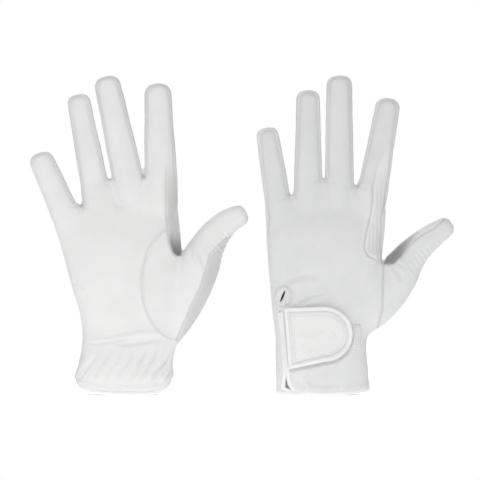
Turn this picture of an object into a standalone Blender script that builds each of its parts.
"""A pair of white riding gloves, standing on their cuffs as if hands filled them.

+Z runs from the cuffs to the fingertips and +X from the right-hand glove to the left-hand one.
-Y is the front: it shows the palm of the right-hand glove and the back of the left-hand glove.
Lengths here are millimetres, and MM makes them metres where a mesh is made.
"""

import math
from dataclasses import dataclass

import bmesh
import bpy
from mathutils import Matrix, Vector

MM = 0.001
LEATHER = 0.9  # thickness of every leather and fabric panel
GAP = 0.3  # clearance between neighbouring pieces
DEEP = 60.0  # further out along Y than any piece reaches

# Sections
FINGER_SIDES = 12
PALM_SIDES = 20
WEB_SIDES = 8
FINGER_DEPTH = 0.86  # depth of a finger over its width
THUMB_DEPTH = 0.80
FINGER_POWER = 2.3  # superellipse powers: 2 is an ellipse, more is squarer
PALM_POWER = 2.6
ROOT = 28.0  # how far a finger runs down inside the palm
ROOT_FLARE = 0.16  # how fast a finger widens on its way down to the webs
FLARE_START = 8.0  # how far above the webs that starts
FINGER_PITCH = 0.035  # how far the fingers bow towards the palm, per unit of length

# Joints and seams
FINGER_HINGE = 0.34  # place of the middle knuckle, as a share of a finger's free length
FLEX_HALF = 9.6  # half length of the sleeve that bends at a middle knuckle
THUMB_FLEX_HALF = 7.2
BAND = 7.0  # width of the fourchettes, the strips between the fingers
HEM_HEIGHT = 7.0
SLIT_WIDTH = 1.0
TAB_EDGE_WIDTH = 2.8
SLIT_TOP = 61.0
SHARP_ANGLE = math.radians(35)  # edges sharper than this stay crisp

# Layers on and in the wrist: distance of each face from the outside of the leather
HEM_LAYER = (-LEATHER, 0.9)
BINDING_LAYER = (0.3, 1.3)
EYELET_LAYER = (0.3, 1.7)
INSERT_LAYER = (0.3, 1.0)
LOOP_LAYER = (0.3, 1.0)
HOOK_LAYER = (1.3, 2.0)
LINING_LAYER = (2.3, 2.8)
STRAP_LAYER = (3.1, 4.1)
TAB_EDGE_LAYER = (2.1, 4.6)
ELASTIC_LAYER = (-LEATHER - GAP - 0.9, -LEATHER - GAP)
LABEL_LAYER = (-LEATHER - GAP - 0.4, -LEATHER - GAP)

WHITE_LEATHER = ("white_leather", (0.84, 0.84, 0.84), 0.55)
WHITE_FABRIC = ("white_stretch_fabric", (0.76, 0.76, 0.77), 0.75)
WHITE_BINDING = ("white_binding", (0.88, 0.88, 0.88), 0.45)
WHITE_ELASTIC = ("white_elastic", (0.80, 0.80, 0.80), 0.85)
WHITE_TAPE = ("white_hook_and_loop", (0.86, 0.86, 0.86), 0.90)
LABEL_SATIN = ("label_satin", (0.90, 0.90, 0.90), 0.35)


@dataclass
class Finger:
    """One finger stall, as a straight tapering ray in the X-Z plane."""

    name: str
    base: tuple  # axis point level with the webs beside the finger
    lean: float  # degrees from vertical, positive towards +X
    length: float  # from the base to the end of the tip
    base_width: float
    tip_width: float
    open_side: int  # -1 or +1 where no finger stands beside it on that side of X, else 0

    def direction(self):
        angle = math.radians(self.lean)
        return Vector((math.sin(angle), 0, math.cos(angle)))

    def point(self, s):
        return Vector((self.base[0], 0, self.base[1])) + self.direction() * s

    def across(self):
        along = self.direction()
        return Vector((along.z, 0, -along.x))

    def flare(self, s):
        """What the finger gains in width beside the webs."""
        return ROOT_FLARE * min(max(FLARE_START - s, 0), FLARE_START + 8)

    def width(self, s):
        taper = (self.tip_width - self.base_width) * max(s, 0) / self.length
        return self.base_width + taper + self.flare(s)

    def centre(self, s):
        """The middle of the section at s: the side without a neighbour stays straight."""
        return self.point(s) - self.across() * self.open_side * self.flare(s) / 2

    def hinge(self):
        return FINGER_HINGE * self.length


@dataclass
class Glove:
    name: str
    palm_side: int  # +1 where the palm faces +Y, -1 where it faces -Y
    palm_rows: list  # (height, left edge, right edge, half depth), from the hem up
    fingers: list
    webs: list  # (x, z) of the top of the skin between each two fingers
    thumb: list  # (x, z, width) along the thumb's middle, from the wrist to the tip
    thumb_joint: int  # which of those points the thumb bends at
    strip_seam: list  # edge of the strip on the index finger's thumb side, from the bottom up
    strip_edge: list  # its other limit, from the top down to the crotch of the thumb
    thenar_seam: tuple  # centre x, centre z, half width and half height of the seam round the thumb's mound
    thumb_back_seam: list  # seam between the back and the thumb, from the top down
    tab_root: tuple  # top and bottom of the closure tab's sewn edge
    tab_depths: tuple  # how far those two points are from the glove's mid-plane
    hem_edge: list  # the cuff's lower edge, which curves up at the sides

    def half(self, side, start=GAP / 2):
        """The Y range of the palm half (side 1) or the back half (side -1), from start outwards."""
        sign = side * self.palm_side
        return (sign * start, sign * DEEP)


RIGHT = Glove(
    name="right",
    palm_side=-1,
    palm_rows=[
        (0, -119.5, -55.0, 13.5),
        (4, -122.0, -52.6, 15.0),
        (10, -123.0, -51.2, 15.5),
        (23, -120.4, -50.6, 15.0),
        (34, -118.0, -48.8, 14.0),
        (44, -117.4, -47.0, 13.5),
        (58, -119.2, -45.5, 14.2),
        (80, -125.4, -44.5, 15.0),
        (104, -132.0, -44.3, 14.6),
        (122, -137.6, -45.7, 13.0),
        (138.4, -141.8, -47.2, 9.0),
    ],
    fingers=[
        Finger("little", (-130.2, 132.8), -23.9, 49.6, 21.2, 17.8, -1),
        Finger("ring", (-107.2, 147.0), -10.7, 75.6, 21.2, 16.6, 0),
        Finger("middle", (-83.3, 156.0), -12.2, 80.6, 23.4, 18.8, 0),
        Finger("index", (-59.5, 157.0), -2.0, 72.4, 24.4, 19.2, 1),
    ],
    webs=[(-118.6, 139.4), (-97.6, 159.0), (-72.6, 160.5)],
    thumb=[
        (-56.5, 38.0, 17),
        (-50.3, 51.0, 24),
        (-43.2, 65.5, 28.5),
        (-36.4, 81.5, 31.5),
        (-30.6, 97.0, 30),
        (-25.2, 108.8, 25.5),
        (-18.0, 119.6, 21.6),
        (-9.4, 127.6, 18.6),
        (4.0, 134.0, 14.5),
    ],
    thumb_joint=6,
    strip_seam=[(-50.5, 103), (-53.5, 112), (-55.2, 130), (-55.8, 155), (-55.5, 176)],
    strip_edge=[(-36, 176), (-41.6, 122), (-43.6, 108), (-44.4, 103)],
    thenar_seam=(-46.0, 82.0, 27.3, 42.0),
    thumb_back_seam=[(-44.4, 104), (-44.0, 78), (-45.0, 60), (-48.0, 42)],
    tab_root=((-111.2, 63.4), (-107.4, 18.5)),
    tab_depths=(14.73, 16.45),
    hem_edge=[(-126, 17), (-122.4, 11), (-119.4, 5.6), (-113, 2.8), (-104, 0.8), (-96, 0),
              (-68, 0), (-61, 1.6), (-55.4, 5.4), (-52, 10.6), (-48, 17)],
)

LEFT = Glove(
    name="left",
    palm_side=1,
    palm_rows=[
        (0, 26.2, 94.2, 14.0),
        (4, 25.8, 94.3, 15.0),
        (10, 25.6, 94.0, 15.5),
        (23, 25.3, 93.0, 15.0),
        (34, 25.4, 92.2, 14.0),
        (44, 25.2, 93.4, 13.5),
        (58, 23.4, 97.0, 14.2),
        (80, 21.3, 101.0, 15.0),
        (104, 19.4, 104.0, 14.6),
        (122, 18.4, 105.8, 13.0),
        (137, 17.4, 106.9, 9.0),
    ],
    fingers=[
        Finger("little", (27.7, 138.0), -9.0, 59.9, 19.8, 16.2, -1),
        Finger("ring", (49.4, 144.0), 0.0, 80.8, 21.8, 17.0, 0),
        Finger("middle", (72.4, 150.0), 0.0, 85.6, 21.8, 18.8, 0),
        Finger("index", (97.2, 150.5), 10.0, 69.2, 22.8, 17.4, 1),
    ],
    webs=[(36.2, 147.0), (60.9, 159.0), (84.9, 154.0)],
    thumb=[
        (78.0, 36.0, 14),
        (86.0, 49.0, 19.5),
        (98.2, 63.0, 28),
        (108.0, 76.5, 31.5),
        (116.0, 88.6, 30),
        (123.4, 99.8, 25),
        (132.2, 109.6, 21),
        (142.0, 117.4, 18.0),
        (156.0, 126.2, 13),
    ],
    thumb_joint=6,
    strip_seam=[(93.4, 99.5), (91.8, 110), (94.4, 127), (98.6, 147), (102.8, 172)],
    strip_edge=[(122, 172), (112.5, 137), (107.4, 109), (105.0, 99.0)],
    thenar_seam=(101.0, 80.0, 27.3, 40.0),
    thumb_back_seam=[(103.2, 99), (104.0, 82), (103.8, 62), (100.0, 46)],
    tab_root=((31.2, 63.4), (35.0, 18.5)),
    tab_depths=(14.19, 15.65),
    hem_edge=[(22, 2.4), (26, 1.0), (32, 0), (72, 0), (84, 1.2), (92, 2.6), (98, 4.4)],
)


# ---------------------------------------------------------------- mesh helpers


def superellipse(half_width, half_depth, power, sides):
    """(across, depth) offsets of a rounded section, anticlockwise."""
    points = []
    for i in range(sides):
        angle = 2 * math.pi * i / sides
        across, depth = math.cos(angle), math.sin(angle)
        points.append(
            (
                math.copysign(half_width * abs(across) ** (2 / power), across),
                math.copysign(half_depth * abs(depth) ** (2 / power), depth),
            )
        )
    return points


def ring(centre, across, half_width, half_depth, power, sides):
    """A section's points in space: across is its wide direction, and its depth runs along Y."""
    section = superellipse(half_width, half_depth, power, sides)
    return [centre + across * a + Vector((0, d, 0)) for a, d in section]


def add_object(name, mesh, collection):
    thing = bpy.data.objects.new(name, mesh)
    collection.objects.link(thing)
    return thing


def loft(name, rings):
    """A closed body through unlike sections, each with the same number of points."""
    bm = bmesh.new()
    rows = [[bm.verts.new(point * MM) for point in points] for points in rings]
    sides = len(rows[0])
    for lower, upper in zip(rows, rows[1:]):
        for i in range(sides):
            j = (i + 1) % sides
            bm.faces.new((lower[i], lower[j], upper[j], upper[i]))
    bm.faces.new(rows[0])
    bm.faces.new(rows[-1])
    bmesh.ops.recalc_face_normals(bm, faces=bm.faces)
    mesh = bpy.data.meshes.new(name)
    bm.to_mesh(mesh)
    bm.free()
    return mesh


def prism(name, outline, depth_range):
    """A hidden cutter: an outline in the X-Z plane, extruded along Y."""
    low, high = sorted(depth_range)
    bm = bmesh.new()
    face = bm.faces.new([bm.verts.new((x * MM, low * MM, z * MM)) for x, z in outline])
    grown = bmesh.ops.extrude_face_region(bm, geom=[face])
    moved = [v for v in grown["geom"] if isinstance(v, bmesh.types.BMVert)]
    bmesh.ops.translate(bm, verts=moved, vec=(0, (high - low) * MM, 0))
    bmesh.ops.recalc_face_normals(bm, faces=bm.faces)
    mesh = bpy.data.meshes.new(name)
    bm.to_mesh(mesh)
    bm.free()
    return as_cutter(add_object(name, mesh, cutters))


def as_cutter(thing):
    thing.hide_render = True
    thing.display_type = "WIRE"
    return thing


def boolean(thing, operation, cutter, solver="EXACT"):
    modifier = thing.modifiers.new(f"{operation.lower()}_{cutter.name}", "BOOLEAN")
    modifier.operation = operation
    modifier.solver = solver
    modifier.object = cutter


def evaluated_mesh(thing, name):
    bpy.context.view_layer.update()
    graph = bpy.context.evaluated_depsgraph_get()
    mesh = bpy.data.meshes.new_from_object(thing.evaluated_get(graph))
    mesh.name = name
    return mesh


def offset_outline(outline, distance):
    """The outline moved outwards by distance, or inwards where that is negative."""
    count = len(outline)
    area = sum(
        outline[i][0] * outline[(i + 1) % count][1] - outline[(i + 1) % count][0] * outline[i][1]
        for i in range(count)
    )
    turn = math.copysign(1, area)
    moved = []
    for i in range(count):
        here = Vector(outline[i])
        before = (here - Vector(outline[i - 1])).normalized()
        after = (Vector(outline[(i + 1) % count]) - here).normalized()
        normal_before = Vector((before.y, -before.x)) * turn
        normal_after = Vector((after.y, -after.x)) * turn
        middle = (normal_before + normal_after).normalized()
        step = distance / max(middle.dot(normal_after), 0.4)
        moved.append(tuple(here + middle * step))
    return moved


def arc(centre, radii, start, end, steps):
    """Points on an ellipse, from one angle to another in degrees."""
    angles = [math.radians(start + (end - start) * i / steps) for i in range(steps + 1)]
    return [(centre[0] + radii[0] * math.cos(a), centre[1] + radii[1] * math.sin(a)) for a in angles]


# ---------------------------------------------------------------- the hand shape


def palm_mesh(glove, grow, below=0.0):
    """The palm and cuff as one body, moved out by grow, and carried down past the hem by below."""
    rows = list(glove.palm_rows)
    rows[-1] = (rows[-1][0] + grow, *rows[-1][1:])
    if below:
        rows.insert(0, (rows[0][0] - below, *rows[0][1:]))
    rings = []
    for height, left, right, half_depth in rows:
        centre = Vector(((left + right) / 2, 0, height))
        half_width = (right - left) / 2 + grow
        rings.append(ring(centre, Vector((1, 0, 0)), half_width, half_depth + grow, PALM_POWER, PALM_SIDES))
    return loft(f"{glove.name}_palm_body", rings)


def finger_mesh(glove, finger, grow):
    """One finger with a domed tip, moved out by grow."""
    dome = finger.tip_width * 0.5
    straight = finger.length - dome
    stations = [(-ROOT, 0.75), (-4, 1), (FLARE_START, 1), (finger.hinge() + FLEX_HALF, 1), (straight, 1)]
    for angle in (40, 74):
        turned = math.radians(angle)
        stations.append((straight + (dome + grow) * math.sin(turned), math.cos(turned) ** 0.8))
    rings = []
    for s, share in stations:
        half = finger.width(s) / 2
        centre = finger.centre(s)
        centre.y = glove.palm_side * FINGER_PITCH * max(s, 0)
        half_width = (half + grow) * share
        half_depth = (half * FINGER_DEPTH + grow) * share
        rings.append(ring(centre, finger.across(), half_width, half_depth, FINGER_POWER, FINGER_SIDES))
    return loft(f"{glove.name}_{finger.name}_body", rings)


def web_mesh(glove, place, grow):
    """The skin between two fingers: a saddle thinner than the fingers, on a root inside the palm."""
    x, z = place
    rings = []
    for level, half_width, half_depth in ((-24, 6.0, 8.0), (-6, 4.2, 6.0), (-1.5, 3.4, 4.8), (grow, 2.2, 3.4)):
        centre = Vector((x, 0, z + level))
        rings.append(ring(centre, Vector((1, 0, 0)), half_width + grow, half_depth + grow, 2, WEB_SIDES))
    return loft(f"{glove.name}_web_body", rings)


def thumb_tangent(glove, i):
    """The thumb's direction at its i-th point."""
    last = len(glove.thumb) - 1
    before, after = glove.thumb[max(i - 1, 0)], glove.thumb[min(i + 1, last)]
    return Vector((after[0] - before[0], 0, after[1] - before[1])).normalized()


def thumb_mesh(glove, grow):
    """The thumb as a curved tube that starts inside the wrist and ends in a rounded tip."""
    last = len(glove.thumb) - 1
    rings = []
    for i, (x, z, width) in enumerate(glove.thumb):
        tangent = thumb_tangent(glove, i)
        across = Matrix.Rotation(math.pi / 2, 3, "Y") @ tangent
        centre = Vector((x, 0, z))
        if i == last:
            centre += tangent * grow
            for back, share in ((4.0, 1.0), (1.2, 0.82), (0.0, 0.5)):
                half = width / 2
                half_width = (half + grow) * share
                half_depth = (half * THUMB_DEPTH + grow) * share
                end = centre - tangent * back
                rings.append(ring(end, across, half_width, half_depth, FINGER_POWER, FINGER_SIDES))
        else:
            half = width / 2
            rings.append(
                ring(centre, across, half + grow, half * THUMB_DEPTH + grow, FINGER_POWER, FINGER_SIDES)
            )
    return loft(f"{glove.name}_thumb_body", rings)


def hand_mesh(glove, grow, below=0.0):
    """Palm, fingers and thumb joined into one body."""
    body = as_cutter(add_object(f"{glove.name}_hand", palm_mesh(glove, grow, below), cutters))
    limbs = [finger_mesh(glove, finger, grow) for finger in glove.fingers]
    limbs += [web_mesh(glove, place, grow) for place in glove.webs]
    limbs.append(thumb_mesh(glove, grow))
    for mesh in limbs:
        boolean(body, "UNION", as_cutter(add_object(mesh.name, mesh, cutters)))
    return evaluated_mesh(body, f"{glove.name}_hand_{grow}")


def shell_mesh(glove):
    """The glove's skin: the hand's outside less its inside, open at the cuff and cut short above the hem."""
    outer = as_cutter(add_object(f"{glove.name}_outer", hand_mesh(glove, 0.0), cutters))
    inner = as_cutter(add_object(f"{glove.name}_inner", hand_mesh(glove, -LEATHER, below=10), cutters))
    boolean(outer, "DIFFERENCE", inner)
    return evaluated_mesh(outer, f"{glove.name}_shell")


# ---------------------------------------------------------------- pieces


def material(name, colour, roughness):
    made = bpy.data.materials.get(name)
    if made is None:
        made = bpy.data.materials.new(name)
        made.use_nodes = True
        shader = made.node_tree.nodes["Principled BSDF"]
        shader.inputs["Base Color"].default_value = (*colour, 1)
        shader.inputs["Roughness"].default_value = roughness
        shader.inputs["Metallic"].default_value = 0
        made.diffuse_color = (*colour, 1)
    return made


def piece(glove, name, mesh, finish, keep=(), drop=(), solver="EXACT"):
    """One named part: what the keep cutters hold of the mesh, less what the drop cutters hold."""
    mesh = mesh.copy()
    mesh.materials.clear()
    mesh.materials.append(material(*finish))
    mesh.shade_smooth()
    mesh.set_sharp_from_angle(angle=SHARP_ANGLE)
    thing = add_object(f"{glove.name}_{name}", mesh, parts)
    for cutter in keep:
        boolean(thing, "INTERSECT", cutter, solver)
    for cutter in drop:
        boolean(thing, "DIFFERENCE", cutter, solver)
    return thing


def panel(glove, name, shell, finish, keep=(), drop=()):
    """A part cut from the shell. EXACT leaves open edges where many cutters meet on its thin wall."""
    return piece(glove, name, shell, finish, keep, drop, solver="MANIFOLD")


def layer(glove, name, span, finish, outlines, side, drop=()):
    """A part that lies on or in the wrist: a skin between two distances from the leather, within the outlines."""
    inner = palm_mesh(glove, span[0], below=10)
    core = as_cutter(add_object(f"{glove.name}_{name}_core", inner, cutters))
    depth = glove.half(side) if side else (-DEEP, DEEP)
    keep = [prism(f"{glove.name}_{name}_outline", outline, depth) for outline in outlines]
    return piece(glove, name, palm_mesh(glove, span[1]), finish, keep, (core, *drop))


def finger_box(glove, finger, name, start, end, spare):
    """A cutter across one finger, from one distance along it to another."""
    across, half = finger.across(), finger.base_width / 2 + spare
    corners = []
    for s, side in ((start, -1), (start, 1), (end, 1), (end, -1)):
        corner = finger.point(s) + across * side * half
        corners.append((corner.x, corner.z))
    return prism(f"{glove.name}_{finger.name}_{name}", corners, (-DEEP, DEEP))


def make_fingers(glove, shell):
    """Each finger's bending sleeve and its end. Returns the cutters that keep other panels out of them."""
    spare = 0.5
    zones = {}
    for finger in glove.fingers:
        low, high = finger.hinge() - FLEX_HALF, finger.hinge() + FLEX_HALF
        beyond = finger.length + 10
        zones[finger.name] = finger_box(glove, finger, "zone", low - GAP / 2, beyond, spare)
        flex = finger_box(glove, finger, "flex_zone", low + GAP / 2, high - GAP / 2, spare)
        end = finger_box(glove, finger, "end_zone", high + GAP / 2, beyond, spare)
        panel(glove, f"{finger.name}_knuckle_sleeve", shell, WHITE_LEATHER, keep=[flex])
        panel(glove, f"{finger.name}_finger_end", shell, WHITE_LEATHER, keep=[end])
    return zones


def make_thumb_end(glove, shell):
    """The thumb's bending sleeve and its end. Returns the cutter that keeps the hand's panels out of them."""
    x, z, width = glove.thumb[glove.thumb_joint]
    along = thumb_tangent(glove, glove.thumb_joint)
    across = Vector((along.z, 0, -along.x))
    centre, reach, beyond = Vector((x, 0, z)), width, 45

    def box(name, start, end):
        corners = []
        for s, side in ((start, -1), (start, 1), (end, 1), (end, -1)):
            corner = centre + along * s + across * side * reach
            corners.append((corner.x, corner.z))
        return prism(f"{glove.name}_thumb_{name}", corners, (-DEEP, DEEP))

    low, high = -THUMB_FLEX_HALF, THUMB_FLEX_HALF
    flex = box("flex_zone", low + GAP / 2, high - GAP / 2)
    end = box("end_zone", high + GAP / 2, beyond)
    panel(glove, "thumb_joint_sleeve", shell, WHITE_LEATHER, keep=[flex])
    panel(glove, "thumb_end", shell, WHITE_LEATHER, keep=[end])
    return box("zone", low - GAP / 2, beyond)


def thenar_outline(glove):
    """The D-shaped panel over the thumb's mound, carried out past the thumb."""
    x, z, half_width, half_height = glove.thenar_seam
    far = glove.thumb[-1][0] + 20
    seam = arc((x, z), (half_width, half_height), 90, 270, 12)
    return [(far, glove.strip_edge[0][1]), *glove.strip_edge[:2], *seam, (far, z - half_height)]


def thumb_back_outline(glove):
    """The back of the thumb, from its crotch down to the wrist."""
    far = glove.thumb[-1][0] + 20
    top, bottom = glove.strip_edge[0][1], glove.thumb_back_seam[-1][1]
    return [(far, top), *glove.strip_edge, *glove.thumb_back_seam[1:], (far, bottom)]


def hem_outline(glove, height):
    """Everything below a line that stays one height above the cuff's lower edge."""
    first, last = glove.hem_edge[0], glove.hem_edge[-1]
    upper = [(x, z + height) for x, z in reversed(glove.hem_edge)]
    return [(first[0] - 20, -20), (last[0] + 20, -20), (last[0] + 20, upper[0][1]), *upper, (first[0] - 20, upper[-1][1])]


def make_panels(glove, shell, zones, thumb_zone, openings):
    """The panels that the hand of the glove is sewn from."""
    everywhere = (-DEEP, DEEP)
    drop_ends = [*zones.values(), thumb_zone]
    hem_zone = prism(f"{glove.name}_hem_zone", hem_outline(glove, HEM_HEIGHT + GAP), everywhere)

    strip = [*glove.strip_seam, *glove.strip_edge]
    strip_cutter = prism(f"{glove.name}_strip", offset_outline(strip, -GAP / 2), everywhere)
    strip_zone = prism(f"{glove.name}_strip_zone", offset_outline(strip, GAP / 2), everywhere)
    thenar = thenar_outline(glove)
    thenar_cutter = prism(f"{glove.name}_thenar", offset_outline(thenar, -GAP / 2), glove.half(1))
    thenar_zone = prism(f"{glove.name}_thenar_zone", offset_outline(thenar, GAP / 2), glove.half(1, -GAP / 2))
    thumb_back = thumb_back_outline(glove)
    thumb_back_cutter = prism(f"{glove.name}_thumb_back", offset_outline(thumb_back, -GAP / 2), glove.half(-1))
    beyond_back = offset_outline(thumb_back, GAP / 2)
    thumb_back_zone = prism(f"{glove.name}_thumb_back_zone", beyond_back, glove.half(-1, -GAP / 2))

    band_zones = []
    below_web = 12.0
    for first, second in zip(glove.fingers, glove.fingers[1:]):
        corners = []
        for finger, levels in ((first, (-below_web, 1)), (second, (1, -below_web))):
            for level in levels:
                s = finger.hinge() if level > 0 else level
                point = finger.point(s)
                corners.append((point.x, point.z))
        name = f"fourchette_{first.name}_{second.name}"
        inside = prism(f"{glove.name}_{name}_cut", corners, (-BAND / 2, BAND / 2))
        outside = (-BAND / 2 - GAP, BAND / 2 + GAP)
        band_zones.append(prism(f"{glove.name}_{name}_zone", corners, outside))
        panel(glove, name, shell, WHITE_FABRIC, keep=[inside], drop=drop_ends)

    panel(glove, "index_side_strip", shell, WHITE_LEATHER, [strip_cutter], [*drop_ends, thenar_zone, thumb_back_zone])
    panel(glove, "thenar_panel", shell, WHITE_LEATHER, keep=[thenar_cutter], drop=[thumb_zone, strip_zone])
    panel(glove, "thumb_back_panel", shell, WHITE_FABRIC, keep=[thumb_back_cutter], drop=[thumb_zone, strip_zone])
    shared = [*drop_ends, strip_zone, hem_zone, *band_zones]
    everything = [(-200, -20), (200, -20), (200, 260), (-200, 260)]
    palm_half = prism(f"{glove.name}_palm_half", everything, glove.half(1))
    back_half = prism(f"{glove.name}_back_half", everything, glove.half(-1))
    panel(glove, "palm_panel", shell, WHITE_LEATHER, keep=[palm_half], drop=[*shared, thenar_zone])
    panel(glove, "back_panel", shell, WHITE_FABRIC, keep=[back_half], drop=[*shared, thumb_back_zone, *openings])


def tab_outline(glove):
    """The closure tab: a tongue with a half-round end."""
    (top_x, top_z), (bottom_x, bottom_z) = glove.tab_root
    middle = (top_x + 29.4, 44.4)
    return [(bottom_x, bottom_z), *arc(middle, (21.2, 20.2), -90, 90, 12), (top_x, top_z)]


def slit_outline(glove):
    """The slit at the outer side of the wrist, which gapes below the tab."""
    (top_x, top_z), (bottom_x, bottom_z) = glove.tab_root
    left_top, left_bottom = top_x - 2.6, bottom_x - 2.6
    return [
        (left_top, SLIT_TOP),
        (left_bottom, bottom_z),
        (left_bottom - 3.6, -20),
        (left_bottom + 12, -20),
        (left_bottom + 12, 0.6),
        (left_bottom + 6.4, 2.6),
        (left_bottom + 2.8, 6.6),
        (left_bottom + 1.2, 12),
        (left_bottom + SLIT_WIDTH, bottom_z),
        (left_top + SLIT_WIDTH, SLIT_TOP),
    ]


def eyelet_centre(glove):
    return (glove.tab_root[0][0] - 1.4, SLIT_TOP + 11.4)


def make_wrist(glove, slit, slot):
    """The hem, the slit's edging, the elastic and the closure."""
    (top_x, top_z), (bottom_x, bottom_z) = glove.tab_root
    left_edge, right_edge = glove.palm_rows[4][1], glove.palm_rows[4][2]
    below_edge = prism(f"{glove.name}_below_edge", hem_outline(glove, 0), (-DEEP, DEEP))
    hem = hem_outline(glove, HEM_HEIGHT)
    layer(glove, "cuff_hem", HEM_LAYER, WHITE_BINDING, [hem], 0, drop=[slit, below_edge])

    edge, tape = top_x - 2.6, 2.6
    low_edge, low = bottom_x - 2.6, HEM_HEIGHT + 6.0
    binding = [
        (low_edge - tape - 0.8, low),
        (low_edge + SLIT_WIDTH + tape + 0.8, low),
        (low_edge + SLIT_WIDTH + tape, bottom_z),
        (edge + SLIT_WIDTH + tape, SLIT_TOP + 2.2),
        (edge - tape, SLIT_TOP + 2.2),
    ]
    layer(glove, "slit_binding", BINDING_LAYER, WHITE_BINDING, [binding], -1, drop=[slit])

    rim = arc(eyelet_centre(glove), (6.6, 7.9), 0, 337.5, 15)
    layer(glove, "slit_eyelet", EYELET_LAYER, WHITE_BINDING, [rim], -1, drop=[slot])

    band = [(bottom_x + 42, 33), (bottom_x + 53, 33), (bottom_x + 53, 51), (bottom_x + 42, 51)]
    layer(glove, "stretch_insert", INSERT_LAYER, WHITE_ELASTIC, [band], -1)
    patch = [(bottom_x + 8, 31), (bottom_x + 38, 31), (bottom_x + 38, 57), (bottom_x + 8, 57)]
    layer(glove, "loop_patch", LOOP_LAYER, WHITE_TAPE, [patch], -1)

    spread = [(left_edge + 4, 25), (right_edge - 4, 25), (right_edge - 4, 35), (left_edge + 4, 35)]
    layer(glove, "wrist_elastic", ELASTIC_LAYER, WHITE_ELASTIC, [spread], 1)
    middle = (left_edge + right_edge) / 2
    tag = [(middle + 2, 10), (middle + 16, 10), (middle + 16, 30), (middle + 2, 30)]
    layer(glove, "care_label", LABEL_LAYER, LABEL_SATIN, [tag], -1)

    tab = tab_outline(glove)
    inset = offset_outline(tab, -TAB_EDGE_WIDTH - GAP)
    tab_hole = prism(f"{glove.name}_tab_hole", offset_outline(tab, -TAB_EDGE_WIDTH), (-DEEP, DEEP))
    layer(glove, "tab_strap", STRAP_LAYER, WHITE_LEATHER, [inset], -1)
    layer(glove, "tab_lining", LINING_LAYER, WHITE_FABRIC, [inset], -1)
    layer(glove, "tab_edge_binding", TAB_EDGE_LAYER, WHITE_BINDING, [tab], -1, drop=[tab_hole])
    hook = [(bottom_x + 12, 33), (bottom_x + 34, 33), (bottom_x + 34, 56), (bottom_x + 12, 56)]
    layer(glove, "hook_patch", HOOK_LAYER, WHITE_TAPE, [hook], -1)


def hang(thing, holder):
    """Parents thing to an empty without moving it."""
    thing.parent = holder
    thing.matrix_parent_inverse = holder.matrix_basis.inverted()


def pivot(glove, name, place, axis, held):
    """An empty on a joint's axis, its own X along that axis, which carries the pieces that turn about it."""
    empty = bpy.data.objects.new(f"{glove.name}_{name}", None)
    empty.empty_display_size = 10 * MM
    parts.objects.link(empty)
    turn = Vector(axis).to_track_quat("X", "Z").to_matrix().to_4x4()
    empty.matrix_basis = Matrix.Translation(Vector(place) * MM) @ turn
    for piece_name in held:
        hang(bpy.data.objects[f"{glove.name}_{piece_name}"], empty)
    return empty


def make_joints(glove):
    """Empties on the joints' axes. The glove's own empty is in the middle of its cuff and carries the rest."""
    middle = (glove.palm_rows[0][1] + glove.palm_rows[0][2]) / 2
    fixed = [thing for thing in parts.objects if thing.name.startswith(glove.name)]
    pivots = []
    for finger in glove.fingers:
        place = finger.point(finger.hinge())
        place.y = glove.palm_side * FINGER_PITCH * finger.hinge()
        axis = finger.across() * -glove.palm_side
        pivots.append(pivot(glove, f"{finger.name}_knuckle", place, axis, [f"{finger.name}_finger_end"]))
    x, z, width = glove.thumb[glove.thumb_joint]
    pivots.append(pivot(glove, "thumb_joint", (x, 0, z), (0, -1, 0), ["thumb_end"]))

    (top_x, top_z), (bottom_x, bottom_z) = glove.tab_root
    top_y, bottom_y = (-glove.palm_side * depth for depth in glove.tab_depths)
    top = Vector((top_x, top_y, top_z))
    bottom = Vector((bottom_x, bottom_y, bottom_z))
    pieces = ["tab_strap", "tab_lining", "tab_edge_binding", "hook_patch"]
    pivots.append(pivot(glove, "tab_hinge", (top + bottom) / 2, (top - bottom) * -glove.palm_side, pieces))
    root = pivot(glove, "glove", (middle, 0, 0), (0, 0, 1), [])
    for thing in fixed:
        if thing.parent is None:
            hang(thing, root)
    for empty in pivots:
        hang(empty, root)


def make_glove(glove):
    shell = shell_mesh(glove)
    slit = prism(f"{glove.name}_slit", slit_outline(glove), glove.half(-1))
    slot = prism(f"{glove.name}_eyelet_slot", arc(eyelet_centre(glove), (1.0, 4.2), 0, 330, 11), glove.half(-1))
    zones = make_fingers(glove, shell)
    thumb_zone = make_thumb_end(glove, shell)
    make_panels(glove, shell, zones, thumb_zone, [slit, slot])
    make_wrist(glove, slit, slot)
    make_joints(glove)


for leftover in list(bpy.data.objects):
    bpy.data.objects.remove(leftover)
parts = bpy.data.collections.new("riding_gloves")
cutters = bpy.data.collections.new("cutters")
for collection in (parts, cutters):
    bpy.context.scene.collection.children.link(collection)
for glove in (RIGHT, LEFT):
    make_glove(glove)
